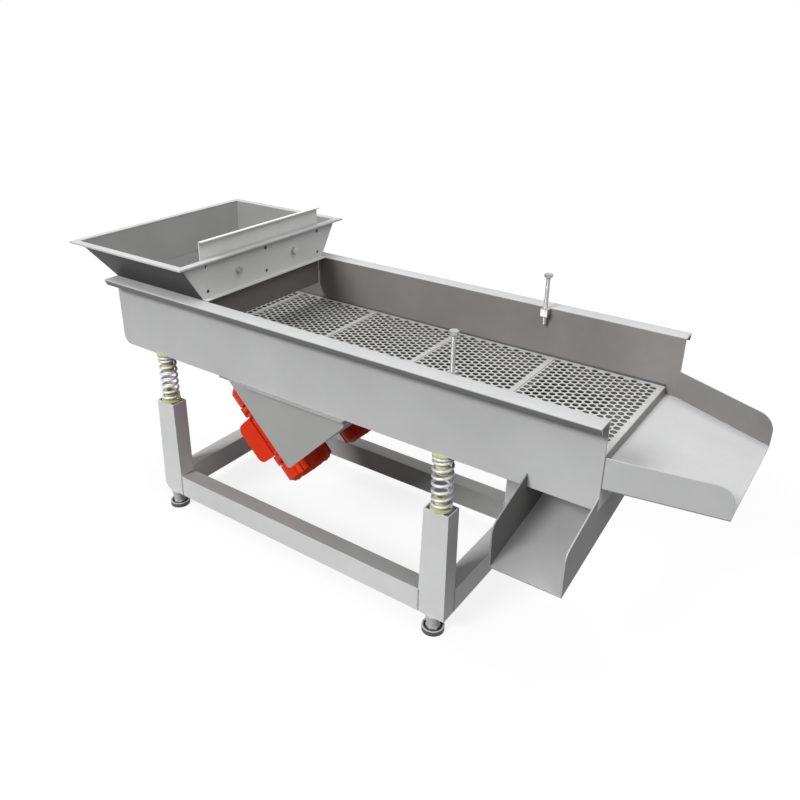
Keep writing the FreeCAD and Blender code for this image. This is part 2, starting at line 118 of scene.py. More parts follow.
# many small forms that become one mesh
class Batch:
    def __init__(self):
        self.verts = []
        self.faces = []

    def lathe(self, base, axis, profile, count):
        a, b = crossAxes(axis)
        start = len(self.verts)
        for distance, radius in profile:
            self.verts += ringAt(base + axis * distance, a, b, radius, count)
        bridge(self.faces, start, count, len(profile))
        self.closeEnds(start, count, len(profile))

    def closeEnds(self, start, count, rings):
        last = start + (rings - 1) * count
        self.faces.append(tuple(range(start, start + count))[::-1])
        self.faces.append(tuple(range(last, last + count)))

    def tube(self, path, radii, count):
        # round wire along a path, with a radius at each point
        start = len(self.verts)
        previous = None
        for i, point in enumerate(path):
            ahead = (path[min(i + 1, len(path) - 1)] - path[max(i - 1, 0)]).normalized()
            if previous is None:
                previous = crossAxes(ahead)[0]
            a = (previous - ahead * previous.dot(ahead)).normalized()
            b = ahead.cross(a)
            previous = a
            self.verts += ringAt(point, a, b, radii[i], count)
        bridge(self.faces, start, count, len(path))
        self.closeEnds(start, count, len(path))

    def piece(self, name, material, body, slotName, smooth=False):
        return newPiece(name, self.verts, self.faces, material, body, smooth)


# washer and chamfer, as parts of the head's width and height
bolt = {"washerRadius": 0.78, "washerTop": 0.72, "washerEdge": 0.18, "washerHeight": 0.22, "lift": 0.2,
        "chamfer": 0.86}


def hexBolt(batch, base, axis, width, height, washer=True):
    # washer, chamfered hexagon head
    reach = width / math.sqrt(3)
    lift = 0.0
    if washer:
        batch.lathe(base, axis, [(0, width * bolt["washerRadius"]),
                                 (height * bolt["washerEdge"], width * bolt["washerRadius"]),
                                 (height * bolt["washerHeight"], width * bolt["washerTop"])], 24)
        lift = height * bolt["lift"]
    batch.lathe(base + axis * lift, axis, [(0, reach), (height * bolt["chamfer"], reach),
                                           (height, reach * bolt["chamfer"])], 6)


# nodes for shader groups and materials

def addNode(tree, kind, **settings):
    # in_Name sets an input's value, any other name sets the node itself
    node = tree.nodes.new(kind)
    for key, value in settings.items():
        if key.startswith("in_"):
            node.inputs[key[3:].replace("_", " ")].default_value = value
        else:
            setattr(node, key, value)
    return node


def feed(tree, value, socket):
    # value is an output socket, a number or a colour
    if isinstance(value, bpy.types.NodeSocket):
        tree.links.new(value, socket)
    elif isinstance(value, (int, float)):
        socket.default_value = value
    else:
        socket.default_value = (*value, 1.0)


def mapRange(tree, source, low, high, outLow=0.0, outHigh=1.0):
    node = addNode(tree, "ShaderNodeMapRange", in_From_Min=low, in_From_Max=high, in_To_Min=outLow,
                   in_To_Max=outHigh)
    tree.links.new(source, node.inputs["Value"])
    return node.outputs["Result"]


def multiply(tree, a, b, clamp=False):
    node = addNode(tree, "ShaderNodeMath", operation="MULTIPLY", use_clamp=clamp)
    tree.links.new(a, node.inputs[0])
    tree.links.new(b, node.inputs[1])
    return node.outputs[0]


def mixColor(tree, factor, a, b):
    node = addNode(tree, "ShaderNodeMix", data_type="RGBA", blend_type="MIX", clamp_factor=True)
    colourInputs = [s for s in node.inputs if s.type == "RGBA"]
    feed(tree, factor, node.inputs[0])
    feed(tree, a, colourInputs[0])
    feed(tree, b, colourInputs[1])
    return [s for s in node.outputs if s.type == "RGBA"][0]


def objectCoords(tree):
    return addNode(tree, "ShaderNodeTexCoord").outputs["Object"]


def placeOn(tree):
    # X, Y and Z of a point on the piece
    split = addNode(tree, "ShaderNodeSeparateXYZ")
    tree.links.new(objectCoords(tree), split.inputs[0])
    return split.outputs


def facing(tree, normal="True Normal"):
    # X, Y and Z of the way that a face looks
    split = addNode(tree, "ShaderNodeSeparateXYZ")
    tree.links.new(addNode(tree, "ShaderNodeNewGeometry").outputs[normal], split.inputs[0])
    return split.outputs


def noise(tree, scale, detail, roughness):
    node = addNode(tree, "ShaderNodeTexNoise", in_Detail=detail, in_Roughness=roughness)
    feed(tree, scale, node.inputs["Scale"])
    tree.links.new(objectCoords(tree), node.inputs["Vector"])
    return node.outputs["Fac"]


# shader groups, each used by several materials

def startGroup(name, inputs, outputs):
    # inputs come with their first values
    group = bpy.data.node_groups.new(name, "ShaderNodeTree")
    for label, value in inputs.items():
        kind = "NodeSocketFloat" if isinstance(value, float) else "NodeSocketVector"
        group.interface.new_socket(name=label, in_out="INPUT", socket_type=kind).default_value = value
    for label in outputs:
        kind = "NodeSocketVector" if label == "Normal" else "NodeSocketFloat"
        group.interface.new_socket(name=label, in_out="OUTPUT", socket_type=kind)
    return group, group.nodes.new("NodeGroupInput"), group.nodes.new("NodeGroupOutput")


def buildEdgeWear():
    # mask along sharp edges, broken up by noise, and a softly rounded normal
    group, inner, outer = startGroup("edgeWear", {"Radius": 0.0015, "Amount": 0.5}, ["Mask", "Normal"])
    link = group.links.new
    bevel = addNode(group, "ShaderNodeBevel", samples=4)
    link(inner.outputs["Radius"], bevel.inputs["Radius"])
    dot = addNode(group, "ShaderNodeVectorMath", operation="DOT_PRODUCT")
    link(bevel.outputs["Normal"], dot.inputs[0])
    link(addNode(group, "ShaderNodeNewGeometry").outputs["Normal"], dot.inputs[1])
    turned = addNode(group, "ShaderNodeMath", operation="SUBTRACT")
    turned.inputs[0].default_value = 1.0
    link(dot.outputs["Value"], turned.inputs[1])
    edge = mapRange(group, turned.outputs[0], 0.01, 0.16)
    patches = mapRange(group, noise(group, 140.0, 5.0, 0.65), 0.42, 0.62)
    worn = multiply(group, multiply(group, edge, patches), inner.outputs["Amount"], clamp=True)
    link(worn, outer.inputs["Mask"])
    link(bevel.outputs["Normal"], outer.inputs["Normal"])
    return group


def buildGrain():
    # sprayed coat: soft clouds for the tone, orange peel for the height
    group, inner, outer = startGroup("sprayGrain", {"Cloud Scale": 5.0, "Peel Scale": 420.0}, ["Tone", "Height"])
    group.links.new(noise(group, inner.outputs["Cloud Scale"], 6.0, 0.6), outer.inputs["Tone"])
    group.links.new(noise(group, inner.outputs["Peel Scale"], 2.0, 0.5), outer.inputs["Height"])
    return group


def buildDust():
    # fine dust that lies on faces turned up, thicker in patches
    group, inner, outer = startGroup("settledDust", {"Amount": 0.3}, ["Mask"])
    up = mapRange(group, facing(group, "Normal")["Z"], 0.35, 1.0)
    patches = mapRange(group, noise(group, 9.0, 8.0, 0.7), 0.4, 0.75)
    lying = multiply(group, multiply(group, up, patches), inner.outputs["Amount"], clamp=True)
    group.links.new(lying, outer.inputs["Mask"])
    return group


def buildDownFacingShade():
    # 1 on faces that look down; these are painted darker, as painted shade
    group, inner, outer = startGroup("downFacingShade", {"Amount": 1.0}, ["Mask"])
    down = mapRange(group, facing(group)["Z"], -0.12, -0.40)
    group.links.new(multiply(group, down, inner.outputs["Amount"], clamp=True), outer.inputs["Mask"])
    return group


def buildStreaks():
    # fine lines of rolled or turned metal along one direction
    group, inner, outer = startGroup("metalStreaks", {"Stretch": (6.0, 260.0, 260.0)}, ["Streak"])
    link = group.links.new
    stretch = addNode(group, "ShaderNodeMapping")
    lines = addNode(group, "ShaderNodeTexNoise", in_Scale=1.0, in_Detail=4.0, in_Roughness=0.6)
    link(objectCoords(group), stretch.inputs["Vector"])
    link(inner.outputs["Stretch"], stretch.inputs["Scale"])
    link(stretch.outputs["Vector"], lines.inputs["Vector"])
    link(lines.outputs["Fac"], outer.inputs["Streak"])
    return group


edgeWear = buildEdgeWear()
sprayGrain = buildGrain()
settledDust = buildDust()
metalStreaks = buildStreaks()
downFacingShade = buildDownFacingShade()
print("shader groups built")


# materials

def useGroup(tree, group, **values):
    node = tree.nodes.new("ShaderNodeGroup")
    node.node_tree = group
    for key, value in values.items():
        node.inputs[key.replace("_", " ")].default_value = value
    return node


def startMaterial(name):
    material = bpy.data.materials.new(name)
    material.use_nodes = True
    tree = material.node_tree
    return material, tree, tree.nodes["Principled BSDF"]


def startCoat(tree, look):
    # spray grain, worn edges and the tone from dark to light
    grain = useGroup(tree, sprayGrain, Cloud_Scale=look["cloudScale"], Peel_Scale=look["peelScale"])
    wear = useGroup(tree, edgeWear, Radius=look["edgeRadius"], Amount=look["wear"])
    return grain, wear, mapRange(tree, grain.outputs["Tone"], 0.35, 0.65)


def finishShader(tree, shader, colour, rough, height, strength, depth, edges=None):
    bump = addNode(tree, "ShaderNodeBump", in_Strength=strength, in_Distance=depth)
    tree.links.new(height, bump.inputs["Height"])
    if edges is not None:
        tree.links.new(edges, bump.inputs["Normal"])
    tree.links.new(colour, shader.inputs["Base Color"])
    tree.links.new(rough, shader.inputs["Roughness"])
    tree.links.new(bump.outputs["Normal"], shader.inputs["Normal"])


def finishCoat(tree, shader, colour, grain, wear, look, rough=None):
    # uneven gloss, orange peel and rounded edges
    if rough is None:
        rough = mapRange(tree, grain.outputs["Tone"], 0.3, 0.7, look["gloss"] - 0.05, look["gloss"] + 0.06)
    finishShader(tree, shader, colour, rough, grain.outputs["Height"], look["peel"], 0.0004, wear.outputs["Normal"])
    shader.inputs["Specular IOR Level"].default_value = look.get("shine", 0.3)


def paintMaterial(name, look):
    material, tree, shader = startMaterial(name)
    grain, wear, tone = startCoat(tree, look)
    dust = useGroup(tree, settledDust, Amount=look["dust"])
    # painted shade: faces that look down get a darker colour
    under = useGroup(tree, downFacingShade, Amount=look.get("underShade", 0.0))
    colour = mixColor(tree, tone, look["dark"], look["light"])
    colour = mixColor(tree, under.outputs["Mask"], colour, look.get("underShadeColour", look["dark"]))
    colour = mixColor(tree, dust.outputs["Mask"], colour, look["dustColour"])
    colour = mixColor(tree, wear.outputs["Mask"], colour, look["wearColour"])
    finishCoat(tree, shader, colour, grain, wear, look)
    return material


def metalMaterial(name, look):
    material, tree, shader = startMaterial(name)
    streak = useGroup(tree, metalStreaks, Stretch=look["stretch"]).outputs["Streak"]
    wear = useGroup(tree, edgeWear, Radius=look["edgeRadius"], Amount=look["wear"])
    grain = useGroup(tree, sprayGrain, Cloud_Scale=look["cloudScale"], Peel_Scale=300.0)
    colour = mixColor(tree, mapRange(tree, streak, 0.3, 0.7), look["dark"], look["light"])
    cloud = mapRange(tree, grain.outputs["Tone"], 0.35, 0.7, 0.0, look["stain"])
    colour = mixColor(tree, cloud, colour, look["stainAndShadeColour"])
    colour = mixColor(tree, wear.outputs["Mask"], colour, look["light"])
    if "feedShade" in look:
        # painted shade: darker towards the feed end, by the hopper
        feedEndShade = mapRange(tree, placeOn(tree)["X"], look["feedEnd"], look["unshadedFrom"], look["feedShade"], 0.0)
        colour = mixColor(tree, feedEndShade, colour, look["stainAndShadeColour"])
    if "sideShade" in look:
        # painted shade: the upright faces of the holes and of the bent end are darker
        flat = addNode(tree, "ShaderNodeMath", operation="ABSOLUTE")
        tree.links.new(facing(tree)["Z"], flat.inputs[0])
        edges = mapRange(tree, flat.outputs[0], 0.6, 0.3, 0.0, look["sideShade"])
        colour = mixColor(tree, edges, colour, look["sideColour"])
    rough = mapRange(tree, streak, 0.3, 0.7, look["gloss"] - 0.06, look["gloss"] + 0.08)
    finishShader(tree, shader, colour, rough, streak, look["bump"], 0.0003, wear.outputs["Normal"])
    shader.inputs["Metallic"].default_value = look["metallic"]
    return material


def paintTwoSided(name, outside, inside, axis, sign, beyondY=None):
    # one coat outside; the faces that look along the given axis get darker inside colours as painted shade, darkest
    # towards the feed end by the hopper
    material, tree, shader = startMaterial(name)
    grain, wear, tone = startCoat(tree, outside)
    place = placeOn(tree)
    dust = useGroup(tree, settledDust, Amount=outside["dust"] * 0.6)
    # painted shade: faces that look down get a darker colour
    under = useGroup(tree, downFacingShade, Amount=outside["underShade"])
    # painted shade: faces that look along the given axis take the inside colours
    inward = mapRange(tree, facing(tree)[axis], 0.4 * sign, 0.8 * sign)
    if beyondY is not None:
        inward = multiply(tree, inward, mapRange(tree, place["Y"], beyondY, beyondY + 0.01))
    coat = mixColor(tree, tone, outside["dark"], outside["light"])
    coat = mixColor(tree, under.outputs["Mask"], coat, outside["underShadeColour"])
    paintedShade = mixColor(tree, tone, inside["dark"], inside["light"])
    feedEndShade = mixColor(tree, tone, inside["feedDark"], inside["feedLight"])
    # painted shade: darker towards the feed end, by the hopper
    paintedShade = mixColor(tree, mapRange(tree, place["X"], -0.55, 0.65), feedEndShade, paintedShade)
    colour = mixColor(tree, inward, coat, paintedShade)
    colour = mixColor(tree, dust.outputs["Mask"], colour, inside["dustColour"])
    colour = mixColor(tree, wear.outputs["Mask"], colour, outside["wearColour"])
    rough = mapRange(tree, inward, 0.0, 1.0, outside["gloss"], inside["gloss"])
    finishCoat(tree, shader, colour, grain, wear, outside, rough)
    return material


def finesMaterial(name, look):
    # painted shade: dark under the trough, lighter towards the mouth, and darker on faces that look along X
    material, tree, shader = startMaterial(name)
    grain, wear, tone = startCoat(tree, look)
    outOfShade = mapRange(tree, placeOn(tree)["X"], look["feedEnd"], look["mouth"])
    under = useGroup(tree, downFacingShade, Amount=look["underShade"])
    # painted shade on faces that look along X
    sideways = mapRange(tree, facing(tree)["X"], 0.4, 0.8, 0.0, look["wallShade"])
    colour = mixColor(tree, tone, look["dark"], look["light"])
    colour = mixColor(tree, sideways, colour, look["paintedShade"])
    colour = mixColor(tree, outOfShade, look["paintedShade"], colour)
    colour = mixColor(tree, under.outputs["Mask"], colour, look["underShadeColour"])
    colour = mixColor(tree, wear.outputs["Mask"], colour, look["wearColour"])
    finishCoat(tree, shader, colour, grain, wear, look)
    return material


def gateMaterial(name, look):
    # coat in a lighter copy of the grey where it stands out of the hopper, as painted light; painted shade below the
    # rim
    material, tree, shader = startMaterial(name)
    grain, wear, tone = startCoat(tree, look)
    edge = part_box("hopper_front_wall")[1].z - look["rimDrop"]
    low = mapRange(tree, placeOn(tree)["Z"], edge + 4 * mm, edge - 1 * mm)
    colour = mixColor(tree, tone, look["dark"], look["light"])
    colour = mixColor(tree, wear.outputs["Mask"], colour, look["wearColour"])
    # painted shade below the rim
    colour = mixColor(tree, low, colour, look["paintedShade"])
    finishCoat(tree, shader, colour, grain, wear, look)
    return material


def footMaterial(name, look, neckLook):
    # cast pad with a dark coat, its neck and nut in the frame's paint
    material, tree, shader = startMaterial(name)
    grain, wear, tone = startCoat(tree, look)
    neck = mapRange(tree, placeOn(tree)["Z"], look["padTop"], look["padTop"] + 1 * mm)
    pad = mixColor(tree, tone, look["dark"], look["light"])
    painted = mixColor(tree, tone, neckLook["dark"], neckLook["light"])
    colour = mixColor(tree, neck, pad, painted)
    colour = mixColor(tree, wear.outputs["Mask"], colour, look["wearColour"])
    rough = mapRange(tree, grain.outputs["Tone"], 0.3, 0.7, 0.42, 0.56)
    finishCoat(tree, shader, colour, grain, wear, look, rough)
    return material


def threadMaterial(name, look):
    # bright screw with a fine rolled thread; its roots are painted darker than its crests, as painted shade
    material, tree, shader = startMaterial(name)
    thread = addNode(tree, "ShaderNodeTexWave", in_Scale=look["threadScale"], wave_type="BANDS", bands_direction="Z")
    tree.links.new(objectCoords(tree), thread.inputs["Vector"])
    grain = useGroup(tree, sprayGrain, Cloud_Scale=60.0, Peel_Scale=500.0)
    colour = mixColor(tree, thread.outputs["Fac"], look["root"], look["crest"])
    rough = mapRange(tree, grain.outputs["Tone"], 0.3, 0.7, 0.28, 0.42)
    finishShader(tree, shader, colour, rough, thread.outputs["Fac"], 0.6, 0.0008)
    shader.inputs["Metallic"].default_value = 0.75
    return material


# grey coat of the whole machine; the looks below are made from it, many as lighter or darker copies that paint in
# light and shade
greyLook = {
    "dark": (0.475, 0.478, 0.478), "light": (0.535, 0.538, 0.538), "wearColour": (0.64, 0.64, 0.64),
    # underShade colour and amount: painted shade on faces that look down
    "dustColour": (0.56, 0.555, 0.54), "underShadeColour": (0.13, 0.13, 0.128), "underShade": 0.9, "dust": 0.25,
    "cloudScale": 3.0, "peelScale": 380.0, "peel": 0.12, "edgeRadius": 0.0016, "wear": 0.55, "gloss": 0.5,
}
# painted light: lighter copies of the grey coat for the frame and the hopper's front wall
frameLightenedLook = dict(greyLook, dark=(0.60, 0.603, 0.603), light=(0.665, 0.668, 0.668))
frontLightenedLook = dict(greyLook, dark=(0.60, 0.60, 0.597), light=(0.66, 0.66, 0.655))
bracketLook = dict(greyLook, dark=(0.35, 0.35, 0.347), light=(0.385, 0.385, 0.38))
# painted light: the gate's coat much lighter than the grey; paintedShade is the painted shade below the rim
gateLightAndShadeLook = dict(greyLook, dark=(0.74, 0.74, 0.733), light=(0.79, 0.79, 0.783),
                paintedShade=(0.15, 0.143, 0.137), rimDrop=12 * mm)
finesShadeLook = dict(greyLook, dark=(0.43, 0.432, 0.432), light=(0.47, 0.472, 0.472), wearColour=(0.55, 0.55, 0.548),
                 paintedShade=(0.07, 0.069, 0.067), feedEnd=0.38, mouth=0.70, wallShade=0.78)
# painted shade: the hopper's walls in darker copies of the grey coat, darkest under the near wall and on the far
# wall
hopperShadeLook = dict(greyLook, dark=(0.205, 0.205, 0.203), light=(0.24, 0.24, 0.237),
                  wearColour=(0.36, 0.36, 0.355), dustColour=(0.25, 0.246, 0.24))
nearHopperShadeLook = dict(hopperShadeLook, underShadeColour=(0.035, 0.035, 0.0345), underShade=1.0)
farHopperShadeLook = dict(hopperShadeLook, dark=(0.165, 0.165, 0.163), light=(0.195, 0.195, 0.193))
# painted shade: darker colours for faces inside the trough and under it
insideShadeLook = dict(greyLook, dark=(0.19, 0.183, 0.177), light=(0.235, 0.226, 0.218), gloss=0.55,
                  wearColour=(0.34, 0.33, 0.32), dustColour=(0.25, 0.245, 0.235), cloudScale=4.0)
sideShadeLook = dict(insideShadeLook, feedDark=(0.125, 0.12, 0.115), feedLight=(0.16, 0.154, 0.148))
# painted shade: the pan seen through the holes and the cross bars under the deck are near black
panShadeLook = dict(insideShadeLook, dark=(0.035, 0.034, 0.033), light=(0.05, 0.049, 0.047),
               feedDark=(0.03, 0.029, 0.028), feedLight=(0.045, 0.044, 0.042), dustColour=(0.07, 0.068, 0.065))
# painted shade: the far rail and the tops of the rails, under the trough, in a darker grey
railShadeLook = dict(insideShadeLook, dark=(0.29, 0.29, 0.288), light=(0.335, 0.335, 0.332),
                feedDark=(0.29, 0.29, 0.288), feedLight=(0.335, 0.335, 0.332))
underDeckShadeLook = dict(insideShadeLook, dark=(0.05, 0.049, 0.047), light=(0.07, 0.068, 0.066))
motorLook = {
    "dark": (0.68, 0.030, 0.005), "light": (0.82, 0.046, 0.008), "wearColour": (0.90, 0.12, 0.04),
    "dustColour": (0.74, 0.09, 0.03), "dust": 0.12, "cloudScale": 9.0, "peelScale": 260.0, "peel": 0.3,
    "edgeRadius": 0.0022, "wear": 0.35, "gloss": 0.5, "shine": 0.14,
}
seatLook = {
    "dark": (0.50, 0.54, 0.24), "light": (0.62, 0.66, 0.34), "wearColour": (0.70, 0.73, 0.48),
    "dustColour": (0.60, 0.62, 0.42), "dust": 0.25, "cloudScale": 26.0, "peelScale": 500.0, "peel": 0.2,
    "edgeRadius": 0.0012, "wear": 0.4, "gloss": 0.5,
}
rubberLook = {
    "dark": (0.05, 0.05, 0.052), "light": (0.085, 0.085, 0.088), "wearColour": (0.12, 0.12, 0.12),
    "dustColour": (0.20, 0.19, 0.18), "dust": 0.1, "cloudScale": 30.0, "peelScale": 600.0, "peel": 0.4,
    "edgeRadius": 0.0015, "wear": 0.2, "gloss": 0.5,
}
footLook = dict(rubberLook, wearColour=(0.42, 0.42, 0.42), peel=0.3, edgeRadius=0.0012, wear=0.9,
                shine=0.5, padTop=12.5 * mm)
deckLook = {
    "dark": (0.52, 0.52, 0.515), "light": (0.61, 0.61, 0.605), "stainAndShadeColour": (0.38, 0.375, 0.365),
    "stain": 0.25, "feedShade": 0.8, "feedEnd": -0.6, "unshadedFrom": 0.5, "sideShade": 0.85,
    "sideColour": (0.13, 0.128, 0.125), "stretch": (5.0, 200.0, 200.0), "cloudScale": 7.0,
    "edgeRadius": 0.0006, "wear": 0.4, "bump": 0.15, "gloss": 0.42, "metallic": 0.25,
}
springLook = {
    "dark": (0.60, 0.59, 0.62), "light": (0.78, 0.77, 0.80), "stainAndShadeColour": (0.50, 0.48, 0.49),
    "stain": 0.2, "stretch": (160.0, 160.0, 30.0), "cloudScale": 40.0, "edgeRadius": 0.0004,
    "wear": 0.2, "bump": 0.1, "gloss": 0.38, "metallic": 0.4,
}
brightLook = dict(springLook, stretch=(300.0, 300.0, 20.0), gloss=0.33, metallic=0.8,
                  light=(0.74, 0.74, 0.73), dark=(0.52, 0.52, 0.52))
threadLook = {"root": (0.28, 0.28, 0.28), "crest": (0.56, 0.56, 0.555), "threadScale": 179.0}

greyPaint = paintMaterial("greyPaint", greyLook)
frontLightenedPaint = paintMaterial("frontLightenedPaint", frontLightenedLook)
frameLightenedPaint = paintMaterial("frameLightenedPaint", frameLightenedLook)
# painted shade: the whole far rail in the darker grey
farRailShadedPaint = paintMaterial("farRailShadedPaint", railShadeLook)
bracketPaint = paintMaterial("bracketPaint", bracketLook)
hopperShadedPaint = paintMaterial("hopperShadedPaint", hopperShadeLook)
nearHopperShadedPaint = paintMaterial("nearHopperShadedPaint", nearHopperShadeLook)
farHopperShadedPaint = paintMaterial("farHopperShadedPaint", farHopperShadeLook)
underDeckShadedPaint = paintMaterial("underDeckShadedPaint", underDeckShadeLook)
motorPaint = paintMaterial("motorPaint", motorLook)
seatPaint = paintMaterial("seatPolyurethane", seatLook)
sealRubber = paintMaterial("sealRubber", rubberLook)
# painted shade: the inside colours darken the trough's inner faces, the chute's far wall and the tops of the rails
# and pan
farSidePaint = paintTwoSided("farSidePaint", greyLook, sideShadeLook, "Y", -1.0)
nearSidePaint = paintTwoSided("nearSidePaint", greyLook, sideShadeLook, "Y", 1.0)
railPaint = paintTwoSided("railPaint", frameLightenedLook, railShadeLook, "Z", 1.0)
panPaint = paintTwoSided("panPaint", greyLook, panShadeLook, "Z", 1.0)
chutePaint = paintTwoSided("chutePaint", greyLook, sideShadeLook, "Y", -1.0, beyondY=0.04)
finesPaint = finesMaterial("finesPaint", finesShadeLook)
gatePaint = gateMaterial("gatePaint", gateLightAndShadeLook)
levellingFoot = footMaterial("levellingFoot", footLook, greyLook)
deckSteel = metalMaterial("deckSteel", deckLook)
springSteel = metalMaterial("springSteel", springLook)
brightSteel = metalMaterial("brightSteel", brightLook)
threadSteel = threadMaterial("threadSteel", threadLook)

# the last entry that a node's name starts with gives its material
finishes = {
    "vibration_motor": motorPaint, "motor_bracket": bracketPaint, "foot_": levellingFoot, "leg_": frameLightenedPaint,
    "cross_rail": frameLightenedPaint, "rail_": railPaint, "rail_far": farRailShadedPaint, "lower_seat": seatPaint,
    "upper_seat": seatPaint, "spring_": springSteel, "side_plate_near": nearSidePaint,
    "side_plate_far": farSidePaint, "bottom_pan": panPaint, "side_screw": threadSteel,
    "screen_deck": deckSteel, "deck_cross_bar": underDeckShadedPaint, "hopper_back": hopperShadedPaint,
    "hopper_near": nearHopperShadedPaint, "hopper_far": farHopperShadedPaint, "hopper_front": frontLightenedPaint,
    "gate_plate": gatePaint, "gate_stud": brightSteel, "oversize_chute": chutePaint, "fines_": finesPaint,
}
for name, node in nodes.items():
    chosen = greyPaint
    for prefix, material in finishes.items():
        if name.startswith(prefix):
            chosen = material
    if not node.material_slots:
        node.data.materials.append(chosen)
    for s in node.material_slots:
        s.material = chosen
print("materials on the frame's nodes")


# perforated deck: flat punched plate with a folded end

deck = {"panels": 5, "rows": 16, "rowPitch": 17.2 * mm, "holePitch": 20.9 * mm, "holeRadius": 8.1 * mm,
        "holeSides": 12, "firstRow": 14 * mm, "holesInRow": (23, 22), "thickness": 3 * mm, "edgeGap": 4 * mm,
        "lipRun": 13.77 * mm, "bendRun": 1.2 * mm, "bendStart": (0.9 * mm, 0.3 * mm),
        "bendEnd": (1.35 * mm, 1.3 * mm), "lipLean": 2.6 * mm, "lipEdge": (2.98 * mm, 0.4 * mm),
        "innerBend": 1.4 * mm, "stripHalf": 3.2 * mm, "stripHeight": 1.6 * mm, "stripTaper": 0.8,
        "stripInset": 1 * mm, "endScrews": 6, "endScrewInset": 9 * mm, "sideScrewInset": 7 * mm,
        "sideScrewPlaces": (0.25, 0.75), "screwProfile": ((0, 3.2), (0.7, 3.0), (1.2, 2.2)), "screwSides": 16}
seal = {"side": 0.2 * mm, "gap": 0.4 * mm, "rise": 4 * mm, "shoulder": 0.7, "crest": 0.4, "start": 1 * mm}


def plateMesh(outlines, top, bottom):
    # closed plate from flat outlines that touch: corners on a neighbour's edge are added to it
    index = {}
    points = []
    loops = []
    for outline in outlines:
        loop = []
        for x, y in outline:
            key = (round(x * 1e6), round(y * 1e6))
            if key not in index:
                index[key] = len(points)
                points.append((x, y))
            loop.append(index[key])
        loops.append(loop)
    keys = list(index)
    # points sorted along each line of one X and each line of one Y
    lines = ({}, {})
    for number, key in enumerate(keys):
        for fixed in (0, 1):
            lines[fixed].setdefault(key[fixed], []).append((key[1 - fixed], number))
    for table in lines:
        for row in table.values():
            row.sort()

    def between(a, b):
        for fixed in (0, 1):
            if keys[a][fixed] == keys[b][fixed]:
                start, end = keys[a][1 - fixed], keys[b][1 - fixed]
                row = lines[fixed][keys[a][fixed]]
                first = bisect.bisect_right(row, (min(start, end), len(points)))
                last = bisect.bisect_left(row, (max(start, end), -1))
                found = [number for value, number in row[first:last]]
                return found if start < end else found[::-1]
        return []

    count = len(points)
    verts = [(x, y, top) for x, y in points] + [(x, y, bottom) for x, y in points]
    faces = []
    edges = set()
    for loop in loops:
        full = []
        for k, a in enumerate(loop):
            full += [a] + between(a, loop[(k + 1) % len(loop)])
        faces.append(tuple(full))
        faces.append(tuple(a + count for a in reversed(full)))
        edges.update((a, full[(k + 1) % len(full)]) for k, a in enumerate(full))
    # a wall below each edge that only one outline has
    for a, b in sorted(edges):
        if (b, a) not in edges:
            faces.append((b, a, a + count, b + count))
    return verts, faces


def oblong(xa, xb, ya, yb):
    # plain stretch of plate
    return [(xa, ya), (xb, ya), (xb, yb), (xa, yb)]


def holeCell(cx, cy, halfX, halfY):
    # the plate round one punched hole, as one outline for each side of the hole
    count = deck["holeSides"]
    edge = []
    hole = []
    for k in range(count):
        angle = 2 * math.pi * (k + 0.5) / count
        c, s = math.cos(angle), math.sin(angle)
        grow = min(halfX / abs(c), halfY / abs(s))
        px, py = c * grow, s * grow
        if k % 3 == 1:
            # one point of each three moves out to a corner of the cell
            px, py = math.copysign(halfX, c), math.copysign(halfY, s)
        edge.append((cx + px, cy + py))
        hole.append((cx + deck["holeRadius"] * c, cy + deck["holeRadius"] * s))
    return [[edge[k], edge[(k + 1) % count], hole[(k + 1) % count], hole[k]] for k in range(count)]


def deckSpan():
    # both ends, both sides, underside and top of the flat plate
    low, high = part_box("screen_deck")
    endX = high.x - deck["lipRun"] - deck["bendRun"]
    return low.x, endX, low.y + deck["edgeGap"], high.y - deck["edgeGap"], high.z - deck["thickness"], high.z


def buildDeck():
    x0, endX, y0, y1, bottom, top = deckSpan()
    middle = (y0 + y1) / 2
    panel = (endX - x0) / deck["panels"]
    halfRow = deck["rowPitch"] / 2
    halfHole = deck["holePitch"] / 2
    outlines = []
    for p in range(deck["panels"]):
        start = x0 + p * panel
        firstEdge = start + deck["firstRow"] - halfRow
        lastEdge = firstEdge + deck["rows"] * deck["rowPitch"]
        outlines.append(oblong(start, firstEdge, y0, y1))
        outlines.append(oblong(lastEdge, start + panel, y0, y1))
        for r in range(deck["rows"]):
            cx = firstEdge + halfRow + r * deck["rowPitch"]
            count = deck["holesInRow"][r % 2]
            left = middle - count * halfHole
            outlines.append(oblong(cx - halfRow, cx + halfRow, y0, left))
            outlines.append(oblong(cx - halfRow, cx + halfRow, left + count * deck["holePitch"], y1))
            for k in range(count):
                outlines += holeCell(cx, left + (k + 0.5) * deck["holePitch"], halfRow, halfHole)
    verts, faces = plateMesh(outlines, top, bottom)
    # the end, bent down in an even curve
    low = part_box("screen_deck")[0]
    foot = endX + deck["bendEnd"][0] + deck["lipLean"]
    lip = [(endX, top), (endX + deck["bendStart"][0], top - deck["bendStart"][1]),
           (endX + deck["bendEnd"][0], top - deck["bendEnd"][1]), (foot, low.z + deck["lipEdge"][1]),
           (foot - deck["lipEdge"][0], low.z), (endX - deck["innerBend"], bottom), (endX, bottom)]
    n = len(verts)
    for y in (y0, y1):
        verts.extend([(x, y, z) for x, z in lip])
    size = len(lip)
    for k in range(size):
        j = (k + 1) % size
        faces.append((n + k, n + size + k, n + size + j, n + j))
    faces.append(tuple(range(n, n + size))[::-1])
    faces.append(tuple(range(n + size, n + 2 * size)))
    plate = newPiece("punchedDeck", verts, faces, deckSteel, "trough")
    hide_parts("screen_deck")


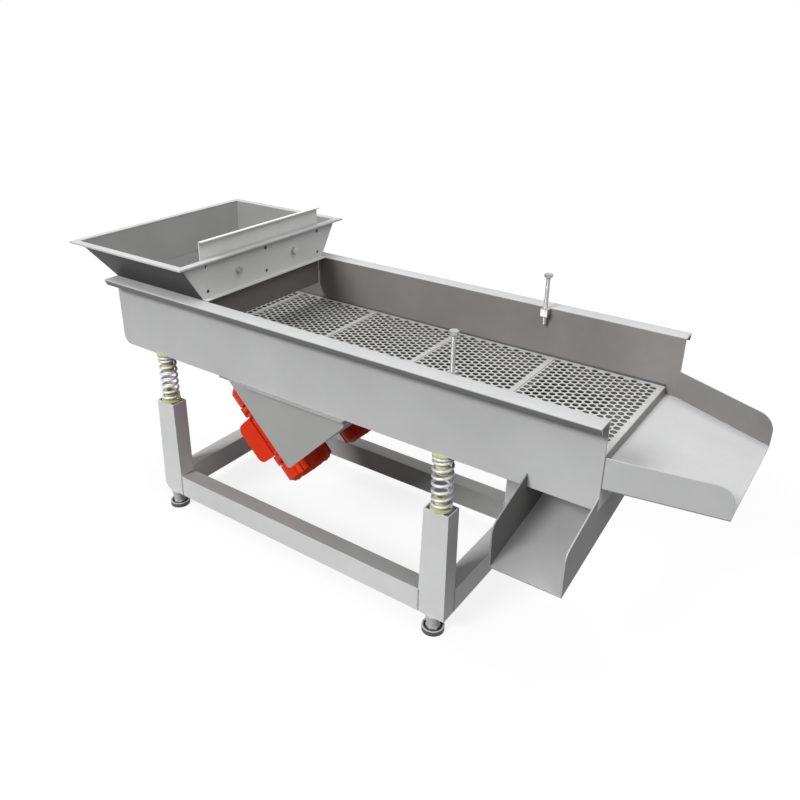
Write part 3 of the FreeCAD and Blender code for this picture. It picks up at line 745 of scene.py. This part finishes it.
def buildDeckTrim():
    x0, endX, y0, y1, bottom, top = deckSpan()
    panel = (endX - x0) / deck["panels"]
    # narrow strips over the seams between panels
    strips = Batch()
    width, height = deck["stripHalf"], deck["stripHeight"]
    narrow = width * deck["stripTaper"]
    for p in range(1, deck["panels"]):
        x = x0 + p * panel
        n = len(strips.verts)
        for y in (y0 + deck["stripInset"], y1 - deck["stripInset"]):
            strips.verts += [Vector((x - width, y, top)), Vector((x - narrow, y, top + height)),
                             Vector((x + narrow, y, top + height)), Vector((x + width, y, top))]
        strips.faces += [(n, n + 1, n + 5, n + 4), (n + 1, n + 2, n + 6, n + 5), (n + 2, n + 3, n + 7, n + 6),
                         (n + 3, n + 2, n + 1, n), (n + 4, n + 5, n + 6, n + 7), (n + 3, n, n + 4, n + 7)]
    strips.piece("deckSeamStrips", deckSteel, "trough", "deck_plate")
    # small screws of the blank margins
    count = deck["endScrews"]
    places = [(endX - deck["endScrewInset"], y0 + (y1 - y0) * (k + 0.5) / count) for k in range(count)]
    for p in range(deck["panels"]):
        for y in (y0 + deck["sideScrewInset"], y1 - deck["sideScrewInset"]):
            places += [(x0 + (p + part) * panel, y) for part in deck["sideScrewPlaces"]]
    screws = Batch()
    for x, y in places:
        screws.lathe(Vector((x, y, top)), Vector((0, 0, 1)), inMetres(deck["screwProfile"]), deck["screwSides"])
    screws.piece("deckScrews", brightSteel, "trough", "bright_steel")
    # rubber strips that close the gaps beside the plate; their black also stands in for the gaps' shade, as painted
    # shade
    rubber = Batch()
    reach, crest = deck["edgeGap"] - seal["gap"], top + seal["rise"]
    for edge, way in ((y0, -1), (y1, 1)):
        n = len(rubber.verts)
        section = [(seal["side"], bottom), (seal["side"], top + seal["rise"] * seal["shoulder"]),
                   (reach * seal["crest"], crest), (reach, crest), (reach, bottom)]
        for x in (x0 + seal["start"], endX):
            rubber.verts += [Vector((x, edge + way * y, z)) for y, z in section]
        bridge(rubber.faces, n, 5, 2)
        rubber.faces += [(n, n + 1, n + 2, n + 3, n + 4), (n + 9, n + 8, n + 7, n + 6, n + 5)]
    tidyNormals(rubber.piece("deckSeal", sealRubber, "trough", "foot_dark"))


buildDeck()
buildDeckTrim()
print("deck punched")


# side plates: one folded sheet each, a flat flange outwards and a lip turned down and in
plate = {"thickness": 4 * mm, "flange": 44 * mm, "lip": 20 * mm, "lipLean": 25.0, "outerBend": 2.6 * mm,
         "innerBend": 0.8 * mm, "bendSteps": 4, "corner": 28 * mm, "cornerSteps": 12}


def bendPoints(before, corner, after, radius, steps):
    # arc that rounds a corner of an outline
    a = (Vector(before) - Vector(corner)).normalized()
    b = (Vector(after) - Vector(corner)).normalized()
    half = a.angle(b) / 2
    reach = radius / math.tan(half)
    centre = Vector(corner) + (a + b).normalized() * radius / math.sin(half)
    start = Vector(corner) + a * reach - centre
    end = Vector(corner) + b * reach - centre
    points = []
    for k in range(steps + 1):
        points.append(tuple(centre + start.slerp(end, k / steps) * radius))
    return points


def buildSidePlate(side, material):
    low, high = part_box("side_plate_" + side)
    outwards = -1 if side == "near" else 1
    inner = high.y if side == "near" else low.y
    t = plate["thickness"]
    lean = math.radians(plate["lipLean"])
    tip = t + plate["flange"]
    down = (-math.sin(lean) * plate["lip"], -math.cos(lean) * plate["lip"])
    # outline across the plate: distance outwards, height above the top edge
    lipEnd = (tip + down[0], down[1])
    lipBack = (lipEnd[0] - t * math.cos(lean), lipEnd[1] + t * math.sin(lean))
    under = (tip - t / math.cos(lean) - t * math.tan(lean), -t)
    depth = low.z - high.z
    outline = [(0.0, depth)]
    outline += bendPoints((0.0, depth), (0.0, 0.0), (tip, 0.0), plate["outerBend"], plate["bendSteps"])
    outline += bendPoints((0.0, 0.0), (tip, 0.0), lipEnd, plate["outerBend"], plate["bendSteps"])
    outline += [lipEnd, lipBack]
    outline += bendPoints(lipBack, under, (t, -t), plate["innerBend"], plate["bendSteps"])
    outline += bendPoints(under, (t, -t), (t, depth), plate["innerBend"], plate["bendSteps"])
    outline += [(t, depth)]
    stations = []
    corner = plate["corner"]
    for k in range(plate["cornerSteps"] + 1):
        turn = math.pi / 2 * k / plate["cornerSteps"]
        stations.append((low.x + corner * (1 - math.cos(turn)), corner * (1 - math.sin(turn))))
    stations.append((high.x, 0.0))
    verts = []
    for x, lift in stations:
        for distance, height in outline:
            rise = lift if height == depth else 0.0
            verts.append((x, inner + outwards * distance, high.z + height + rise))
    faces = []
    size = len(outline)
    bridge(faces, 0, size, len(stations))
    faces.append(tuple(range(size))[::-1])
    last = (len(stations) - 1) * size
    faces.append(tuple(range(last, last + size)))
    piece = newPiece("sidePlate_" + side, verts, faces, material, "trough", smooth=True)
    tidyNormals(piece)
    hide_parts("side_plate_" + side)


buildSidePlate("near", nearSidePaint)
buildSidePlate("far", farSidePaint)
print("side plates folded")


# hopper rim: flat bar round the mouth with a low folded edge
rim = {"width": 21 * mm, "sheet": 3 * mm, "fold": 5.5 * mm, "bend": 1.2 * mm}


def buildRim():
    low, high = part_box("hopper_rim")
    bend = rim["bend"]
    # outline across the rim: distance in from its outer edge, height below its top
    outline = [(rim["width"], 0.0), (bend, 0.0), (bend * 0.3, bend * 0.3), (0.0, bend), (0.0, rim["fold"]),
               (rim["sheet"], rim["fold"]), (rim["sheet"], rim["sheet"]), (rim["width"], rim["sheet"])]
    verts = []
    for inset, depth in outline:
        for x, y in ((low.x + inset, low.y + inset), (high.x - inset, low.y + inset),
                     (high.x - inset, high.y - inset), (low.x + inset, high.y - inset)):
            verts.append((x, y, high.z - depth))
    faces = []
    size = len(outline)
    for k in range(size):
        for c in range(4):
            j, d = (k + 1) % size, (c + 1) % 4
            faces.append((k * 4 + c, k * 4 + d, j * 4 + d, j * 4 + c))
    piece = newPiece("hopperRim", verts, faces, greyPaint, "trough", smooth=True)
    tidyNormals(piece)
    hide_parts("hopper_rim")


buildRim()
print("hopper rim folded")


# oversize chute: tray whose walls close in to its mouth and run out to the floor's end
tray = {"sheet": 3 * mm, "mouthHalf": 175 * mm, "start": 674.5 * mm, "floorHigh": 583 * mm,
        "floorLow": 560 * mm, "wall": 70 * mm, "corner": 34 * mm, "cornerSteps": 14}


def buildTray():
    low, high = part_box("oversize_chute")
    middle = (low.y + high.y) / 2
    half = (high.y - low.y) / 2
    t = tray["sheet"]
    x0, x1, x2 = low.x, tray["start"], high.x
    verts = []
    faces = []
    # floor and apron, top and underside
    mouth, upper, lower = tray["mouthHalf"], tray["floorHigh"], tray["floorLow"]
    plan = [(x0, -half, upper), (x1, -half, upper), (x2, -mouth, lower), (x2, mouth, lower),
            (x1, half, upper), (x0, half, upper)]
    for drop in (0.0, t):
        verts += [(x, middle + y, z - drop) for x, y, z in plan]
    faces += [(0, 1, 4, 5), (1, 2, 3, 4), (11, 10, 7, 6), (10, 9, 8, 7)]
    faces += [(k, k + 6, (k + 1) % 6 + 6, (k + 1) % 6) for k in range(6)]
    # walls
    length = math.hypot(x2 - x1, half - mouth)
    fall = (upper - lower) / length
    outline = [(0.0, -t), (length, -t)]
    topEnd = (length, tray["wall"])
    outline += bendPoints((length, -t), topEnd, (0.0, tray["wall"]), tray["corner"], tray["cornerSteps"])
    outline += [(0.0, tray["wall"])]
    for sign in (-1, 1):
        n = len(verts)
        for inset in (0.0, t):
            for run, height in outline:
                part = run / length
                x = x1 + (x2 - x1) * part
                y = half + (mouth - half) * part - inset
                verts.append((x, middle + sign * y, upper - fall * run + height))
        size = len(outline)
        faces.append(tuple(range(n, n + size)))
        faces.append(tuple(range(n + size, n + 2 * size))[::-1])
        faces += [(n + k, n + (k + 1) % size, n + size + (k + 1) % size, n + size + k) for k in range(size)]
    piece = newPiece("oversizeTray", verts, faces, chutePaint, "trough", smooth=True)
    tidyNormals(piece)
    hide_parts("oversize_chute")


buildTray()
print("oversize tray folded")


# coil springs: closed turn at each end, open turns between

coil = {"wire": 4.0 * mm, "radius": 23.5 * mm, "freeTurns": 6, "closedPitch": 8.4 * mm,
        "flange": 5 * mm, "stepsPerTurn": 28, "wireSides": 14}


def buildSpring(place):
    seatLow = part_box("lower_seat_" + place)[0]
    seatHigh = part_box("upper_seat_" + place)[1]
    centre = centreOf("lower_seat_" + place)
    foot = seatLow.z + coil["flange"] + coil["wire"]
    top = seatHigh.z - coil["flange"] - coil["wire"]
    freeHeight = top - foot - 2 * coil["closedPitch"]
    turns = coil["freeTurns"] + 2
    path = []
    for i in range(turns * coil["stepsPerTurn"] + 1):
        t = i / coil["stepsPerTurn"]
        if t < 1:
            z = coil["closedPitch"] * t
        elif t < turns - 1:
            z = coil["closedPitch"] + freeHeight * (t - 1) / coil["freeTurns"]
        else:
            z = coil["closedPitch"] * (t - coil["freeTurns"]) + freeHeight
        angle = 2 * math.pi * t
        path.append(Vector((centre.x + coil["radius"] * math.cos(angle),
                            centre.y + coil["radius"] * math.sin(angle), foot + z)))
    wire = Batch()
    wire.tube(path, [coil["wire"]] * len(path), coil["wireSides"])
    piece = wire.piece("coil_" + place, springSteel, None, "spring_wire", smooth=True)
    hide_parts("spring_" + place)
    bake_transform(piece)


for place in corners:
    buildSpring(place)
print("springs wound")


# motors: cover bolts, cooling ribs, foot bolts

# middle is X and Z of both motors' centre; profiles are (distance, radius) in mm
motor = {"middle": (-309.3 * mm, 359.6 * mm), "halfLength": 162 * mm, "cover": 62 * mm, "shield": 30 * mm,
         "coverRadius": 69 * mm, "bodyRadius": 60 * mm, "bodySides": 64, "rootDepth": 1 * mm,
         "coverBolts": 47 * mm, "coverBoltAngles": (45, 135, 225, 315), "coverBoltHead": (9 * mm, 2.0 * mm),
         "coverRing": ((0, 34), (1.4, 33.4), (1.6, 31), (0.4, 30)), "swell": 15.5 * mm, "swellRun": 13.5 * mm,
         "swellRoot": 2 * mm, "swellSteps": 12, "collar": ((-14, 59), (-12, 67), (4, 68), (6, 60)),
         "ribs": (62, 76, 90, 104, 118), "rib": (5 * mm, 7 * mm), "ribEnd": 2 * mm,
         "coverRibs": (40, 104, 120, 137), "coverRib": (6 * mm, 6 * mm), "coverRibEnds": (8 * mm, 2 * mm),
         "footBolts": (48 * mm, 65 * mm), "footFace": 61 * mm, "footThickness": 14 * mm,
         "footBoltHead": (17 * mm, 9 * mm), "footStud": ((0, 5), (5, 5), (6, 4.2))}
# terminal box: lid screws in shallow bosses, dome nut of the cable gland
box = {"face": 118 * mm, "screws": (44 * mm, 41 * mm), "bossDepth": 0.5 * mm, "boss": ((0, 8), (1.7, 7.4), (2, 6.8)),
       "screwLift": 1.4 * mm, "screw": ((0, 4.6), (2.0, 4.4), (2.8, 3.4), (2.8, 2.0), (1.6, 1.9)),
       "glandPlace": (87 * mm, 68 * mm), "glandRoot": 1 * mm,
       "gland": ((0, 9.6), (4, 9.4), (6.5, 7.6), (7.5, 5.0), (5, 4.6))}
# along runs down the motor's axis, out away from its plate, across along the machine's Y
along = Vector((1, 0, -1)).normalized()
out = Vector((-1, 0, -1)).normalized()
across = Vector((0, 1, 0))
# cast rib: half section (across, up) and how far up it comes at each station
ribSection = [(-0.5, -0.3), (-0.42, 0.55), (-0.22, 0.92), (0.0, 1.0), (0.22, 0.92), (0.42, 0.55), (0.5, -0.3)]
ribStations = ((0.0, 0.25), (0.06, 1.0), (0.94, 1.0), (1.0, 0.25))


def roundRib(batch, start, end, size, up):
    # low cast rib with a rounded crest
    width, height = size
    side = (end - start).cross(up).normalized()
    n = len(batch.verts)
    for part, fade in ribStations:
        point = start.lerp(end, part)
        for sideways, rise in ribSection:
            lift = rise * height * fade if rise > 0 else rise * height
            batch.verts.append(point + side * sideways * width + up * lift)
    count = len(ribSection)
    bridge(batch.faces, n, count, 4)
    batch.faces.append(tuple(range(n, n + count)))
    batch.faces.append(tuple(range(n + 3 * count, n + 4 * count))[::-1])


def outward(angle):
    turn = math.radians(angle)
    return out * math.cos(turn) + across * math.sin(turn)


def detailMotor(side):
    y = centreOf("vibration_motor_" + side).y
    middle = Vector((motor["middle"][0], y, motor["middle"][1]))
    half = motor["halfLength"]
    inner = half - motor["cover"] - motor["shield"]
    bolts = Batch()
    casting = Batch()

    def around(s, angle, radius):
        return middle + along * s + outward(angle) * radius

    for end in (-1, 1):
        axis = along * end
        for angle in motor["coverBoltAngles"]:
            hexBolt(casting, around(end * half, angle, motor["coverBolts"]), axis, *motor["coverBoltHead"],
                    washer=False)
        # rounded flange of the end shield
        swell = []
        for k in range(motor["swellSteps"] + 1):
            turn = math.pi * k / motor["swellSteps"]
            swell.append((inner + 1 * mm + motor["swellRun"] * (1 - math.cos(turn)),
                          motor["bodyRadius"] - motor["swellRoot"] + motor["swell"] * math.sin(turn)))
        casting.lathe(middle, axis, swell, motor["bodySides"])
        # collar between the end shield and the terminal box, raised ring in the middle of the cover
        collar = [(inner + distance, radius) for distance, radius in inMetres(motor["collar"])]
        casting.lathe(middle, axis, collar, motor["bodySides"])
        casting.lathe(middle + axis * half, axis, inMetres(motor["coverRing"]), 48)
        radius = motor["coverRadius"] - motor["rootDepth"]
        tip, root = motor["coverRibEnds"]
        for k in motor["coverRibs"]:
            for angle in (-k, k):
                roundRib(casting, around(end * (half - tip), angle, radius),
                         around(end * (half - motor["cover"] + root), angle, radius), motor["coverRib"],
                         outward(angle))
        s, reach = motor["footBolts"]
        for flank in (-1, 1):
            base = (middle + along * end * s + across * flank * reach
                    + out * (motor["footThickness"] - motor["footFace"]))
            width, height = motor["footBoltHead"]
            hexBolt(bolts, base, out, width, height)
            bolts.lathe(base + out * height, out, inMetres(motor["footStud"]), 16)
    radius = motor["bodyRadius"] - motor["rootDepth"]
    for k in motor["ribs"]:
        for angle in (-k, k):
            roundRib(casting, around(motor["ribEnd"] - inner, angle, radius),
                     around(inner - motor["ribEnd"], angle, radius), motor["rib"], outward(angle))
    s, reach = box["screws"]
    for sign in (-1, 1):
        for flank in (-1, 1):
            base = middle + along * sign * s + across * flank * reach + out * box["face"]
            casting.lathe(base - out * box["bossDepth"], out, inMetres(box["boss"]), 24)
            bolts.lathe(base + out * box["screwLift"], out, inMetres(box["screw"]), 20)
    gland = middle + along * box["glandPlace"][0] + out * box["glandPlace"][1]
    bolts.lathe(gland - along * box["glandRoot"], along, inMetres(box["gland"]), 28)
    bolts.piece("motorBolts_" + side, brightSteel, "trough", "bright_steel")
    casting.piece("motorRibs_" + side, motorPaint, "trough", "motor_red", smooth=True)


for side in sides:
    detailMotor(side)
print("motors detailed")


# weld beads where the tubes of the base frame meet
weld = {"width": 5 * mm, "step": 0.45, "fewestSteps": 6, "radius": 0.42, "scallop": 0.1, "uneven": 0.05,
        "sides": 6, "clear": 2 * mm, "seed": 11}


def weldBead(batch, start, end, seed):
    # overlapping scallops along a joint
    rng = random.Random(seed)
    width = weld["width"]
    steps = max(weld["fewestSteps"], int((end - start).length / (width * weld["step"])))
    path = [start.lerp(end, i / steps) for i in range(steps + 1)]
    radii = [width * (weld["radius"] + weld["scallop"] * (i % 2) + weld["uneven"] * rng.random())
             for i in range(steps + 1)]
    batch.tube(path, radii, weld["sides"])


def frameWelds():
    beads = Batch()
    lines = []
    for side in sides:
        low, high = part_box("rail_" + side)
        face = low.y if side == "near" else high.y
        other = high.y if side == "near" else low.y
        for x in (low.x, high.x):
            lines.append(((x, face, low.z + weld["clear"]), (x, face, high.z)))
            lines.append(((x, face, high.z), (x, other, high.z)))
            lines.append(((x, other, low.z + weld["clear"]), (x, other, high.z)))
    for end in ("feed", "discharge"):
        low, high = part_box("cross_rail_" + end)
        for y in (low.y, high.y):
            lines.append(((low.x, y, high.z), (high.x, y, high.z)))
            lines.append(((low.x, y, low.z + weld["clear"]), (low.x, y, high.z)))
            lines.append(((high.x, y, low.z + weld["clear"]), (high.x, y, high.z)))
    for k, (start, end) in enumerate(lines):
        weldBead(beads, Vector(start), Vector(end), weld["seed"] + k + 1)
    beads.piece("frameWelds", greyPaint, "base", "grey_paint", smooth=True)


frameWelds()
print("frame welded")


# floor, light and camera

view = {"cameraPlace": (1.0870, -1.5688, 1.4729), "azimuth": 35.66, "pitch": 24.29, "roll": 0.0036,
        "lens": 35.4, "sensor": 36.0, "shiftX": 0.0289, "shiftY": -0.0519}
studio = {"floorReach": 60.0, "floorGlow": 0.84, "floorTone": 0.16, "floorUnseen": 0.07, "sky": 0.26}
# soft suns: where the light comes from, strength, softness in degrees
suns = {"key": ((-0.30, -1.0, 0.76), 2.75, 18.0), "top": ((0.05, 0.20, 1.0), 1.1, 40.0),
        "fill": ((0.8, -0.15, 0.9), 1.05, 40.0)}


def seenDirectly(tree):
    # 1 for the camera, reflections and see-through faces, 0 for light that bounces
    path = addNode(tree, "ShaderNodeLightPath")
    first = addNode(tree, "ShaderNodeMath", operation="MAXIMUM")
    both = addNode(tree, "ShaderNodeMath", operation="MAXIMUM")
    tree.links.new(path.outputs["Is Camera Ray"], first.inputs[0])
    tree.links.new(path.outputs["Is Glossy Ray"], first.inputs[1])
    tree.links.new(first.outputs[0], both.inputs[0])
    tree.links.new(path.outputs["Is Transmission Ray"], both.inputs[1])
    return both.outputs[0]


def buildStage():
    reach = studio["floorReach"]
    mesh = bpy.data.meshes.new("floor")
    mesh.from_pydata([(-reach, -reach, 0), (reach, -reach, 0), (reach, reach, 0), (-reach, reach, 0)], [],
                     [(0, 1, 2, 3)])
    floor = bpy.data.objects.new("floor", mesh)
    bpy.context.collection.objects.link(floor)
    material = bpy.data.materials.new("paleFloor")
    material.use_nodes = True
    tree = material.node_tree
    tree.nodes.clear()
    output = addNode(tree, "ShaderNodeOutputMaterial")
    glow = addNode(tree, "ShaderNodeEmission", in_Color=(1, 1, 1, 1), in_Strength=studio["floorGlow"])
    paper = addNode(tree, "ShaderNodeBsdfDiffuse", in_Color=(*[studio["floorTone"]] * 3, 1))
    unseen = addNode(tree, "ShaderNodeBsdfDiffuse", in_Color=(*[studio["floorUnseen"]] * 3, 1))
    both = addNode(tree, "ShaderNodeAddShader")
    choose = addNode(tree, "ShaderNodeMixShader")
    tree.links.new(glow.outputs[0], both.inputs[0])
    tree.links.new(paper.outputs[0], both.inputs[1])
    tree.links.new(seenDirectly(tree), choose.inputs[0])
    tree.links.new(unseen.outputs[0], choose.inputs[1])
    tree.links.new(both.outputs[0], choose.inputs[2])
    tree.links.new(choose.outputs[0], output.inputs["Surface"])
    mesh.materials.append(material)


def sun(name, source, strength, softness):
    lamp = bpy.data.lights.new(name, "SUN")
    lamp.energy = strength
    lamp.angle = math.radians(softness)
    holder = bpy.data.objects.new(name, lamp)
    holder.rotation_euler = Vector(source).to_track_quat("Z", "Y").to_euler()
    bpy.context.collection.objects.link(holder)


def buildLight():
    world = bpy.data.worlds.new("studio")
    bpy.context.scene.world = world
    world.use_nodes = True
    tree = world.node_tree
    sky = tree.nodes["Background"]
    sky.inputs["Color"].default_value = (1, 1, 1, 1)
    strength = mapRange(tree, seenDirectly(tree), 0.0, 1.0, studio["sky"], 1.0)
    tree.links.new(strength, sky.inputs["Strength"])
    for name, values in suns.items():
        sun(name, *values)


def buildCamera():
    camera = bpy.data.cameras.new("camera")
    holder = bpy.data.objects.new("camera", camera)
    bpy.context.collection.objects.link(holder)
    camera.sensor_width = view["sensor"]
    camera.lens = view["lens"]
    camera.shift_x = view["shiftX"]
    camera.shift_y = view["shiftY"]
    azimuth = math.radians(view["azimuth"])
    pitch = math.radians(view["pitch"])
    forward = Vector((-math.sin(azimuth) * math.cos(pitch), math.cos(azimuth) * math.cos(pitch), -math.sin(pitch)))
    holder.location = view["cameraPlace"]
    turn = forward.to_track_quat("-Z", "Y").to_matrix().to_4x4()
    holder.matrix_world = Matrix.Translation(holder.location) @ turn @ Matrix.Rotation(view["roll"], 4, "Z")
    bpy.context.scene.camera = holder


buildStage()
buildLight()
buildCamera()
bpy.context.scene.view_settings.view_transform = "Standard"
print("stage, light and camera set")
